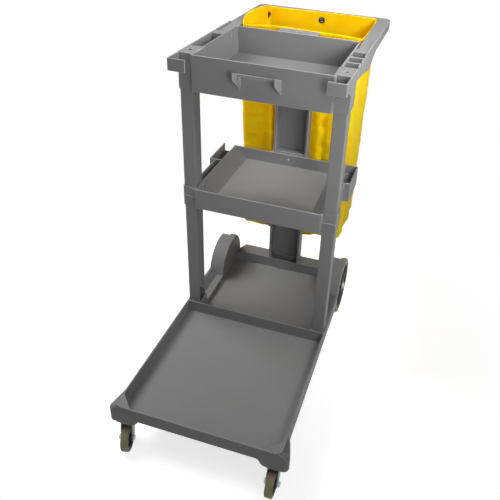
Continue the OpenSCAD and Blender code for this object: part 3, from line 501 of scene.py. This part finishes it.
def lathe(profile, steps):
    """A closed mesh turned about Z from (radius, height) points, the first and last on the axis."""
    bm = bmesh.new()
    rings = []
    for r, z in profile:
        rings.append(ring(bm, r, z, steps) if r else [bm.verts.new((0, 0, z))] * steps)
    for low, high in zip(rings, rings[1:]):
        for i in range(steps):
            j = (i + 1) % steps
            corners = []
            for v in (low[i], low[j], high[j], high[i]):
                if v not in corners:
                    corners.append(v)
            if len(corners) > 2:
                bm.faces.new(corners)
    bmesh.ops.recalc_face_normals(bm, faces=bm.faces)
    mesh = bpy.data.meshes.new("turned")
    bm.to_mesh(mesh)
    bm.free()
    return mesh


def repeat_tree(pattern, material):
    """A Geometry Nodes tree that puts a pattern at each point, turned by the point's own rotation."""
    tree = bpy.data.node_groups.new("repeat_at_points", "GeometryNodeTree")
    tree.interface.new_socket("Geometry", in_out="INPUT", socket_type="NodeSocketGeometry")
    scale = tree.interface.new_socket("Size", in_out="INPUT", socket_type="NodeSocketFloat")
    scale.default_value = 1.0
    tree.interface.new_socket("Geometry", in_out="OUTPUT", socket_type="NodeSocketGeometry")
    given = add(tree, "NodeGroupInput")
    turn = add(tree, "GeometryNodeInputNamedAttribute", {"Name": "turn"}, data_type="QUATERNION")
    shape = add(tree, "GeometryNodeObjectInfo", {"Object": pattern})
    placed = add(
        tree, "GeometryNodeInstanceOnPoints",
        {
            "Points": given.outputs["Geometry"], "Instance": shape.outputs["Geometry"],
            "Rotation": turn.outputs["Attribute"], "Scale": given.outputs["Size"],
        },
    )
    real = add(tree, "GeometryNodeRealizeInstances", {"Geometry": placed.outputs["Instances"]})
    shown = {"Geometry": real.outputs["Geometry"], "Material": material}
    coated = add(tree, "GeometryNodeSetMaterial", shown)
    add(tree, "NodeGroupOutput", {"Geometry": coated.outputs["Geometry"]})
    return tree, scale.identifier


def repeated(name, pattern_mesh, places, turns, material):
    """A plain mesh of a pattern repeated at places with quaternion turns, made by Geometry Nodes."""
    pattern = linked(name + "_pattern", pattern_mesh)
    points = bpy.data.meshes.new(name + "_points")
    points.from_pydata([tuple(p) for p in places], [], [])
    turn = points.attributes.new("turn", "QUATERNION", "POINT")
    for i, q in enumerate(turns):
        turn.data[i].value = q
    holder = linked(name + "_holder", points)
    tree, size_socket = repeat_tree(pattern, material)
    modifier = holder.modifiers.new("repeat", "NODES")
    modifier.node_group = tree
    modifier[size_socket] = 1.0
    mesh = baked(holder)
    drop(holder)
    drop(pattern)
    bpy.data.node_groups.remove(tree)
    mesh.shade_smooth()
    mesh.set_sharp_from_angle(angle=SMALL_SMOOTH)
    return mesh


def facing(direction):
    """The turn that takes +Z to a direction."""
    return Vector(direction).to_track_quat("Z", "Y")


HEAD_R = 4.5 * MM
HEAD_H = 3.0 * MM
SHANK_R = 1.9 * MM
SHANK_L = 8 * MM
# Length, width and height of the two bars that cut the cross recess
CROSS_L, CROSS_W, CROSS_H = 5.2 * MM, 1.3 * MM, 2.6 * MM
SCREW_STEPS = 28


def screw_pattern():
    """A pan-head screw on its seat at the origin, with a cross recess."""
    dome = [(HEAD_R * math.cos(a), HEAD_H * (0.45 + 0.55 * math.sin(a))) for a in np.linspace(0.25, 1.57, 6)]
    profile = [(0, -SHANK_L), (SHANK_R, -SHANK_L), (SHANK_R, 0), (HEAD_R * 0.96, 0), (HEAD_R, HEAD_H * 0.2)]
    head = linked("screw_head", lathe(profile + dome[:-1] + [(0, HEAD_H)], SCREW_STEPS))
    cross = bmesh.new()
    for across, along in ((CROSS_L, CROSS_W), (CROSS_W, CROSS_L)):
        shape = Matrix.Diagonal((across, along, CROSS_H, 1.0))
        bmesh.ops.create_cube(cross, size=1.0, matrix=Matrix.Translation((0, 0, HEAD_H)) @ shape)
    mesh = bpy.data.meshes.new("cross")
    cross.to_mesh(mesh)
    cross.free()
    cutter = linked("cross", mesh)
    cut = head.modifiers.new("recess", "BOOLEAN")
    cut.object = cutter
    cut.operation = "DIFFERENCE"
    cut.use_self = True
    made = baked(head)
    drop(head)
    drop(cutter)
    return made


def screw_place(points):
    """The seat of a screw solid's head and the direction in which the head points."""
    low, high = points.min(0), points.max(0)
    axis = int(np.argmax(high - low))
    middle = (low + high) / 2
    across = np.delete(points - middle, axis, 1)
    wide = np.hypot(across[:, 0], across[:, 1]) > 0.9 * HEAD_R
    sign = 1.0 if points[wide][:, axis].mean() > middle[axis] else -1.0
    out = np.zeros(3)
    out[axis] = sign
    seat = middle.copy()
    seat[axis] = (high if sign > 0 else low)[axis] - sign * HEAD_H
    return Vector(seat), Vector(out)


class CART_OT_screws(bpy.types.Operator):
    """Pan-head screws with cross recesses in the tray, shelf, rails and caster plates"""

    bl_idname = "cart.screws"
    bl_label = "Screws"

    def execute(self, context):
        for node in ("tray_screws", "shelf_screws", "rail_screws", "caster_screws"):
            spots = [screw_place(points) for points in islands(node)]
            turns = [facing(out) for seat, out in spots]
            # The tray's screws take the darker nickel, the other screws the bright nickel
            look = finish("aged" if node == "tray_screws" else "bright_steel")
            mesh = repeated(node, screw_pattern(), [seat for seat, out in spots], turns, look)
            new_piece(node + "_finish", mesh, look, BODY_OF[node], SLOT_OF[node], node)
        return {"FINISHED"}


# The bag

# Grid of the shell: columns across the front or back and each side, rows down the wall and in along the floor
FRONT_COLS, SIDE_COLS = 42, 30
WALL_ROWS, FLOOR_ROWS = 70, 11
COLS = 2 * (FRONT_COLS + SIDE_COLS)
HEM_ROWS = 5

# Heights of the hem above the rails along each panel in millimetres, from its first corner to its last
HEM_FRONT = (
    (0.0, -1), (0.06, 1), (0.14, 4), (0.28, 8), (0.45, 7), (0.65, 5), (0.85, 5), (0.93, 2), (1.0, 1),
)
HEM_RIGHT = ((0.0, 0), (0.2, -3), (0.5, -5), (0.8, -4), (1.0, 0))
HEM_BACK = ((0.0, 2), (0.3, 3), (0.6, 2), (0.9, 0), (1.0, 3))
HEM_LEFT = (
    (0.0, 3), (0.12, 8), (0.24, 13.5), (0.45, 20), (0.65, 23.5), (0.84, 23), (0.93, 18), (0.98, 8), (1.0, -1),
)

# Folds: panel, place along it as a share, width and depth inwards in millimetres, and drift down the wall
FOLDS = (
    (0, 0.242, 9, 9, 0.01), (0, 0.275, 8, -5, 0.005), (0, 0.10, 26, -3, 0.02), (0, 0.755, 8, 8, -0.005),
    (0, 0.715, 16, -4, 0.0), (0, 0.90, 18, -4, 0.01), (1, 0.28, 16, 7, 0.05), (1, 0.55, 20, -5, -0.04),
    (1, 0.80, 13, 6, 0.02), (2, 0.18, 15, 8, 0.03), (2, 0.36, 24, -6, -0.03), (2, 0.62, 14, 9, 0.04),
    (2, 0.83, 20, -6, -0.02), (3, 0.20, 12, 9, 0.0), (3, 0.48, 22, -5, 0.05), (3, 0.74, 15, 7, -0.03),
)
# How far the front, right, back and left panels swell, in millimetres
PANEL_BULGE = (3, 7, 11, 7)
# The gap to the solid's faces at the hem, and how far each wall leans in towards the floor
BAG_GAP = 0.5 * MM
SIDE_LEAN, FRONT_LEAN, BACK_LEAN = 5 * MM, 18 * MM, 6 * MM
CORNER_TOP, CORNER_LOW = 6 * MM, 24 * MM
BOTTOM_ROUND = 26 * MM
BOTTOM_SAG = 10 * MM
FLOOR_DIP = 1.6 * BOTTOM_SAG
FLOOR_RIPPLE = 2 * MM
WALL_RIPPLE = 1.6 * MM
# Long and short waves of the bottom edge
LONG_WAVE, SHORT_WAVE = 4 * MM, 3 * MM
# How much of each ring the floor takes away by its last row
FLOOR_SHRINK = 0.985


def along_panel(table, t):
    """A value from a table of (place, value) pairs, on a straight line between them."""
    return np.interp(t, [p for p, v in table], [v for p, v in table])


def ease(t):
    """A smooth step from 0 to 1."""
    t = np.clip(t, 0.0, 1.0)
    return t * t * (3 - 2 * t)


def bag_points():
    """Rows of points round the bag, from the hem down the wall and in along the floor, as an array."""
    panels = [(0, FRONT_COLS), (1, SIDE_COLS), (2, FRONT_COLS), (3, SIDE_COLS)]
    panel = np.concatenate([np.full(n, k) for k, n in panels])
    t = np.concatenate([np.arange(n) / n for k, n in panels])
    hem = np.zeros(len(t))
    for k, table in enumerate((HEM_FRONT, HEM_RIGHT, HEM_BACK, HEM_LEFT)):
        hem[panel == k] = along_panel(table, t[panel == k])
    # Two passes take the corners off the tables
    for _ in range(2):
        hem = 0.25 * np.roll(hem, 1) + 0.5 * hem + 0.25 * np.roll(hem, -1)
    hem = RAIL_HIGH.z + hem * MM
    bottom = BAG_LOW.z + BOTTOM_SAG
    wave = LONG_WAVE * np.sin(2 * math.pi * (t * 1.5 + 0.37 * panel))
    wave = wave + SHORT_WAVE * np.sin(2 * math.pi * (2.6 * t + 0.11))
    rows = []
    for row in range(WALL_ROWS + FLOOR_ROWS):
        wall = min(1.0, row / (WALL_ROWS - 1))
        depth = ease((wall - 0.06) / 0.94)
        z = hem + (bottom + wave * depth - hem) * wall
        rows.append(bag_ring(panel, t, wall, depth, row, z))
    return np.array(rows)


def bag_ring(panel, t, wall, depth, row, z):
    """One ring of the bag: a rounded rectangle with bulges and folds, drawn in along the floor."""
    half = (BAG_HIGH.x - BAG_LOW.x) / 2 - BAG_GAP - SIDE_LEAN * depth
    front = BAG_LOW.y + BAG_GAP + FRONT_LEAN * depth
    back = BAG_HIGH.y - BAG_GAP - BACK_LEAN * depth
    span_y = back - front
    middle = (front + back) / 2
    corner = CORNER_TOP + (CORNER_LOW - CORNER_TOP) * depth
    width = np.where(panel % 2 == 0, 2 * half, span_y)
    s = (t - 0.5) * width
    # Where the run along a panel comes within a corner's radius it bends inwards
    near = np.clip((np.abs(s) - (width / 2 - corner)) / corner, 0.0, 1.0)
    inward = corner * (1 - np.sqrt(np.clip(1 - (near * 0.72) ** 2, 0.0, 1.0)))
    slide = 0.293 * corner * near**2
    out = -inward
    body = np.sin(math.pi * np.clip(t, 0, 1)) ** 0.8
    swell = depth * (1 - 0.55 * ease((wall - 0.82) / 0.18))
    out = out + np.array(PANEL_BULGE)[panel] * MM * body * swell
    for k, place, wide, deep, drift in FOLDS:
        gap = (t - place - drift * wall * math.sin(3 * wall)) * width
        shape = np.exp(-((gap / (wide * MM)) ** 2)) * ease(wall / 0.25)
        out = out - np.where(panel == k, deep * MM * shape * (1 - 0.4 * ease((wall - 0.85) / 0.15)), 0.0)
    ripple = np.sin(9 * wall + 5 * t + 2 * panel) * np.sin(17 * wall - 8 * t + panel)
    out = out + WALL_RIPPLE * ripple * ease(wall / 0.2)
    # The wall turns under along the bottom edge, and then runs in to the middle of the floor
    last = BOTTOM_ROUND / (BAG_HIGH.z - BAG_LOW.z)
    turn = ease((wall - 1 + last) / last)
    out = out - 0.35 * BOTTOM_ROUND * turn * turn
    s = s - np.sign(s) * slide
    x = np.select([panel == 0, panel == 1, panel == 2], [s, half + out, -s], -half - out)
    y = np.select([panel == 0, panel == 1, panel == 2], [front - out, middle + s, back + out], middle - s)
    if row >= WALL_ROWS:
        share = (row - WALL_ROWS + 1) / FLOOR_ROWS
        keep = 1 - FLOOR_SHRINK * share
        x = x * keep
        y = middle + (y - middle) * keep
        z = z - FLOOR_DIP * ease(share * 1.2) - FLOOR_RIPPLE * np.sin(12 * share + 3 * t)
    return np.stack([x, y, z], 1)


def bag_mesh():
    """The bag's shell as a plain mesh of quads, closed by a fan in the middle of its floor."""
    rows = bag_points()
    count = len(rows)
    points = [tuple(p) for p in rows.reshape(-1, 3)]
    points.append(tuple(rows[-1].mean(0)))
    faces = []
    for i in range(count - 1):
        for j in range(COLS):
            k = (j + 1) % COLS
            faces.append((i * COLS + k, i * COLS + j, (i + 1) * COLS + j, (i + 1) * COLS + k))
    last = (count - 1) * COLS
    for j in range(COLS):
        faces.append((last + (j + 1) % COLS, last + j, len(points) - 1))
    mesh = bpy.data.meshes.new("bag_shell")
    mesh.from_pydata(points, [], faces)
    mesh.validate()
    return mesh


# Rows from the hem down that are pinned fast, the pin's weight on the rest, and the length of the settling
PIN_ROWS = HEM_ROWS + 3
LOOSE_PIN = 0.42
SETTLE_FRAMES = 30


def hang(shell):
    """Lets the bag's wall settle as cloth from its fast hem, with a loose pin that keeps its drawn folds."""
    pins = shell.vertex_groups.new(name="pins")
    for i in range(len(shell.data.vertices)):
        weight = 1.0 if i // COLS < PIN_ROWS else LOOSE_PIN
        pins.add([i], weight, "REPLACE")
    cloth = shell.modifiers.new("hang", "CLOTH")
    rules = cloth.settings
    rules.quality = 6
    rules.mass = 0.25
    rules.tension_stiffness = 40
    rules.compression_stiffness = 40
    rules.shear_stiffness = 20
    rules.bending_stiffness = 4
    rules.vertex_group_mass = "pins"
    rules.pin_stiffness = 1.0
    rules.shrink_min = -0.025
    rules.air_damping = 2.0
    cloth.collision_settings.use_collision = False
    cloth.collision_settings.use_self_collision = False
    cloth.point_cache.frame_start = 1
    cloth.point_cache.frame_end = SETTLE_FRAMES
    for step in range(1, SETTLE_FRAMES + 1):
        bpy.context.scene.frame_set(step)
        bpy.context.view_layer.update()
    settled = baked(shell)
    bpy.context.scene.frame_set(1)
    return settled


# How far past the bag's box the shell may reach: to the front, to the rails beside it and to the rear bar
FRONT_ROOM, RAIL_ROOM, BAR_ROOM = 0.4 * MM, 2.0 * MM, 1.2 * MM
# The rails hold the shell in from this far below them
RAIL_DROP = 12 * MM


def clear_of_neighbours(mesh):
    """Keeps the shell inside the rails, and behind the tray and the posts."""
    for v in mesh.vertices:
        v.co.y = max(v.co.y, BAG_LOW.y - FRONT_ROOM)
        if v.co.z > RAIL_LOW.z - RAIL_DROP:
            v.co.x = min(max(v.co.x, BAG_LOW.x - RAIL_ROOM), BAG_HIGH.x + RAIL_ROOM)
            v.co.y = min(v.co.y, BAG_HIGH.y + BAR_ROOM)


# A hole's radius, the reach within which faces are cut away for it and points are drawn to its edge, and
# how far along the eyelet's axis it looks for the wall
HOLE_R = 8.4 * MM
HOLE_FACES = 9.6 * MM
HOLE_POINTS = 1.2 * HOLE_FACES
HOLE_DEPTH = 15 * MM


def eyelet_axes():
    """The middle of each eyelet and the number of the axis that its barrel lies along."""
    places = []
    for points in islands("bag_eyelets"):
        low, high = points.min(0), points.max(0)
        places.append((Vector((low + high) / 2), int(np.argmin(high - low))))
    return places


def spoke(point, middle, axis):
    """The vector from an eyelet's axis out to a point, far out where the point is on another wall."""
    out = point - middle
    if abs(out[axis]) > HOLE_DEPTH:
        return Vector((1.0, 1.0, 1.0))
    out[axis] = 0.0
    return out


def punched(mesh):
    """The shell's mesh with a round hole under each eyelet."""
    bm = bmesh.new()
    bm.from_mesh(mesh)
    for middle, axis in eyelet_axes():
        inside = [f for f in bm.faces if all(spoke(v.co, middle, axis).length < HOLE_FACES for v in f.verts)]
        bmesh.ops.delete(bm, geom=inside, context="FACES")
        for v in bm.verts:
            out = spoke(v.co, middle, axis)
            if v.is_boundary and out.length < HOLE_POINTS:
                v.co += out.normalized() * (HOLE_R - out.length)
    bm.to_mesh(mesh)
    bm.free()
    return mesh


class CART_OT_bag(bpy.types.Operator):
    """Hanging vinyl bag with a folded hem"""

    bl_idname = "cart.bag"
    bl_label = "Bag"

    def execute(self, context):
        sizes = context.scene.cart_sizes
        shell = linked("bag_shell", bag_mesh())
        settled = hang(shell)
        drop(shell)
        shell = linked("bag_shell", settled)
        clear_of_neighbours(shell.data)
        hem = shell.vertex_groups.new(name="hem")
        hem.add(list(range(COLS * HEM_ROWS)), 1.0, "REPLACE")
        smooth = shell.modifiers.new("smooth", "SUBSURF")
        smooth.levels = smooth.render_levels = 1
        whole = punched(baked(shell))
        drop(shell)
        shell = linked("bag_shell", whole)
        thick = shell.modifiers.new("vinyl", "SOLIDIFY")
        thick.thickness = sizes.hem_wall
        thick.offset = 0.0
        thick.vertex_group = "hem"
        thick.thickness_vertex_group = sizes.vinyl_wall / sizes.hem_wall
        mesh = baked(shell)
        drop(shell)
        mesh.shade_smooth()
        bag = new_piece("bag_shell", mesh, finish("yellow_vinyl"), "frame", "yellow_vinyl", "bag")
        return {"FINISHED"}


# In millimetres: the radius of the eyelet's hole and the reach of its flanges beyond it
EYELET_R = 6.2
EYELET_FLANGE = 4.6
EYELET_STEPS = 40


def eyelet_pattern():
    """A rolled eyelet about Z: a barrel whose two ends roll out into flanges."""
    # One end, from the barrel's inner face out round the flange and back in, as distances out and up
    end = ((0.0, 1.9), (0.5, 2.6), (2.2, 2.9), (EYELET_FLANGE, 2.2), (EYELET_FLANGE, 1.6), (1.2, 1.5))
    profile = [((EYELET_R + out) * MM, -up * MM) for out, up in end]
    profile += [((EYELET_R + out) * MM, up * MM) for out, up in reversed(end)]
    bm = bmesh.new()
    rings = [ring(bm, r, z, EYELET_STEPS) for r, z in profile]
    for low, high in zip(rings, rings[1:] + rings[:1]):
        for i in range(EYELET_STEPS):
            j = (i + 1) % EYELET_STEPS
            bm.faces.new((low[i], low[j], high[j], high[i]))
    bmesh.ops.recalc_face_normals(bm, faces=bm.faces)
    mesh = bpy.data.meshes.new("eyelet")
    bm.to_mesh(mesh)
    bm.free()
    return mesh


class CART_OT_eyelets(bpy.types.Operator):
    """Rolled eyelets in the bag's hem, and the pegs that they hang on"""

    bl_idname = "cart.eyelets"
    bl_label = "Eyelets and pegs"

    def execute(self, context):
        axes = eyelet_axes()
        turns = [facing([float(k == axis) for k in range(3)]) for middle, axis in axes]
        look = finish("aged")
        mesh = repeated("bag_eyelets", eyelet_pattern(), [middle for middle, axis in axes], turns, look)
        new_piece("bag_eyelets_finish", mesh, look, "frame", "bright_steel", "bag_eyelets")
        finished("bag_pegs", context.scene.cart_sizes.metal_edge, "aged")
        return {"FINISHED"}


# Stage

SENSOR = 36.0
# Strength of the room's own light, and of the glow that whitens the floor
ROOM_LIGHT, FLOOR_GLOW = 0.02, 0.7
# Half the floor's width, and the distances between which it fades to plain white
FLOOR_REACH = 14.0
FADE_NEAR, FADE_FAR = 0.35, 0.95
# Name, place, aim, width and height, power in watts and the angle of the beam of each softbox
MIDDLE, TRAY, MOUTH, POST = (0.0, 0.0, 0.6), (0.1, 0.0, 0.85), (0.05, 0.25, 0.9), (0.25, -0.05, 0.85)
LIGHTS = (
    ("left_softbox", (-1.6, 0.0, 2.38), MIDDLE, (1.3, 1.3), 51, 180),
    ("top_softbox", (0.0, -0.2, 3.0), MIDDLE, (1.8, 1.8), 4, 180),
    ("back_softbox", (0.2, 1.8, 2.2), MIDDLE, (1.3, 1.3), 5, 180),
    ("right_softbox", (0.9, -0.12, 1.6), MOUTH, (0.5, 0.5), 3.2, 80),
    ("near_softbox", (0.78, -0.62, 1.05), TRAY, (0.4, 0.8), 2.4, 180),
    ("gridded_softbox", (1.02, -1.7, 1.35), POST, (0.4, 0.4), 1.8, 60),
)


def light(name, place, aim, size, power, beam):
    """A soft light of a width and height at a place, turned to an aim, with a beam of an angle in degrees."""
    lamp = bpy.data.lights.new(name, "AREA")
    lamp.shape = "RECTANGLE"
    lamp.size, lamp.size_y = size
    lamp.energy = power
    lamp.spread = math.radians(beam)
    made = linked(name, lamp)
    made.location = place
    made.rotation_mode = "QUATERNION"
    made.rotation_quaternion = (Vector(aim) - Vector(place)).to_track_quat("-Z", "Y")
    made.visible_camera = False


def white_to_camera(tree, seen, lit):
    """A shader that the camera, reflections and glass see as one, and the rest of the light as another."""
    path = add(tree, "ShaderNodeLightPath")
    first = add(
        tree, "ShaderNodeMath", {0: path.outputs["Is Camera Ray"], 1: path.outputs["Is Glossy Ray"]},
        operation="MAXIMUM",
    )
    any_of = add(
        tree, "ShaderNodeMath", {0: first.outputs[0], 1: path.outputs["Is Transmission Ray"]},
        operation="MAXIMUM",
    )
    return add(tree, "ShaderNodeMixShader", {0: any_of.outputs[0], 1: lit, 2: seen}).outputs[0]


class CART_OT_stage(bpy.types.Operator):
    """Pale floor, soft studio lights and the camera"""

    bl_idname = "cart.stage"
    bl_label = "Stage"

    def execute(self, context):
        scene = context.scene
        stage = scene.cart_stage
        camera = bpy.data.cameras.new("camera")
        camera.lens = stage.lens
        camera.sensor_width = SENSOR
        camera.shift_x, camera.shift_y = stage.shift
        holder = linked("camera", camera)
        holder.location = stage.camera_place
        holder.rotation_euler = stage.camera_turn
        scene.camera = holder
        scene.view_settings.view_transform = "Standard"

        world = bpy.data.worlds.new("studio")
        scene.world = world
        world.use_nodes = True
        tree = world.node_tree
        tree.nodes.clear()
        seen = add(tree, "ShaderNodeBackground", {"Color": (1, 1, 1, 1), "Strength": 1.0})
        lit = add(tree, "ShaderNodeBackground", {"Color": (1, 1, 1, 1), "Strength": ROOM_LIGHT})
        mixed = white_to_camera(tree, seen.outputs[0], lit.outputs[0])
        add(tree, "ShaderNodeOutputWorld", {"Surface": mixed})

        made, tree = blank("studio_floor")
        colour = shade(scene.cart_colours.floor, 1.0)
        paper = add(tree, "ShaderNodeBsdfDiffuse", {"Color": colour})
        glow = add(tree, "ShaderNodeEmission", {"Color": (1, 1, 1, 1), "Strength": FLOOR_GLOW})
        veil = add(tree, "ShaderNodeAddShader", {0: paper.outputs[0], 1: glow.outputs[0]})
        # Away from the cart the floor fades to plain white
        far = add(tree, "ShaderNodeVectorMath", {0: object_space(tree)}, operation="LENGTH")
        fade = add(
            tree, "ShaderNodeMapRange",
            {"Value": far.outputs["Value"], "From Min": FADE_NEAR, "From Max": FADE_FAR},
            interpolation_type="SMOOTHSTEP",
        )
        white = add(tree, "ShaderNodeEmission", {"Color": (1, 1, 1, 1), "Strength": 1.0})
        shown = add(
            tree, "ShaderNodeMixShader", {0: fade.outputs["Result"], 1: veil.outputs[0], 2: white.outputs[0]}
        )
        mixed = white_to_camera(tree, shown.outputs[0], paper.outputs[0])
        add(tree, "ShaderNodeOutputMaterial", {"Surface": mixed})
        floor = bpy.data.meshes.new("floor")
        corners = [(x * FLOOR_REACH, y * FLOOR_REACH, 0) for x, y in ((-1, -1), (1, -1), (1, 1), (-1, 1))]
        floor.from_pydata(corners, [], [(0, 1, 2, 3)])
        floor.materials.append(made)
        ground = linked("floor", floor)

        for row in LIGHTS:
            light(*row)
        return {"FINISHED"}


class CART_PT_panel(bpy.types.Panel):
    """Lists the pieces of the cart"""

    bl_idname = "CART_PT_panel"
    bl_label = "Janitor cart"
    bl_space_type = "VIEW_3D"
    bl_region_type = "UI"
    bl_category = "Cart"

    def draw(self, context):
        for step in STEPS:
            self.layout.operator(step.bl_idname)


STEPS = (
    CART_OT_stage, CART_OT_mouldings, CART_OT_rear_wheels, CART_OT_casters, CART_OT_screws, CART_OT_bag,
    CART_OT_eyelets,
)
GROUPS = {"cart_colours": CartColours, "cart_sizes": CartSizes, "cart_stage": CartStage}
CLASSES = (*GROUPS.values(), *STEPS, CART_PT_panel)


def register():
    """Registers the classes and their settings on the scene."""
    for made in CLASSES:
        bpy.utils.register_class(made)
    for name, group in GROUPS.items():
        setattr(bpy.types.Scene, name, bpy.props.PointerProperty(type=group))


def unregister():
    """Removes the settings and the classes."""
    for name in GROUPS:
        delattr(bpy.types.Scene, name)
    for made in reversed(CLASSES):
        bpy.utils.unregister_class(made)


def main():
    """Builds every piece in order."""
    register()
    bpy.ops.cart.stage()
    bpy.ops.cart.mouldings()
    bpy.ops.cart.rear_wheels()
    bpy.ops.cart.casters()
    bpy.ops.cart.screws()
    bpy.ops.cart.bag()
    bpy.ops.cart.eyelets()


if __name__ == "__main__":
    main()
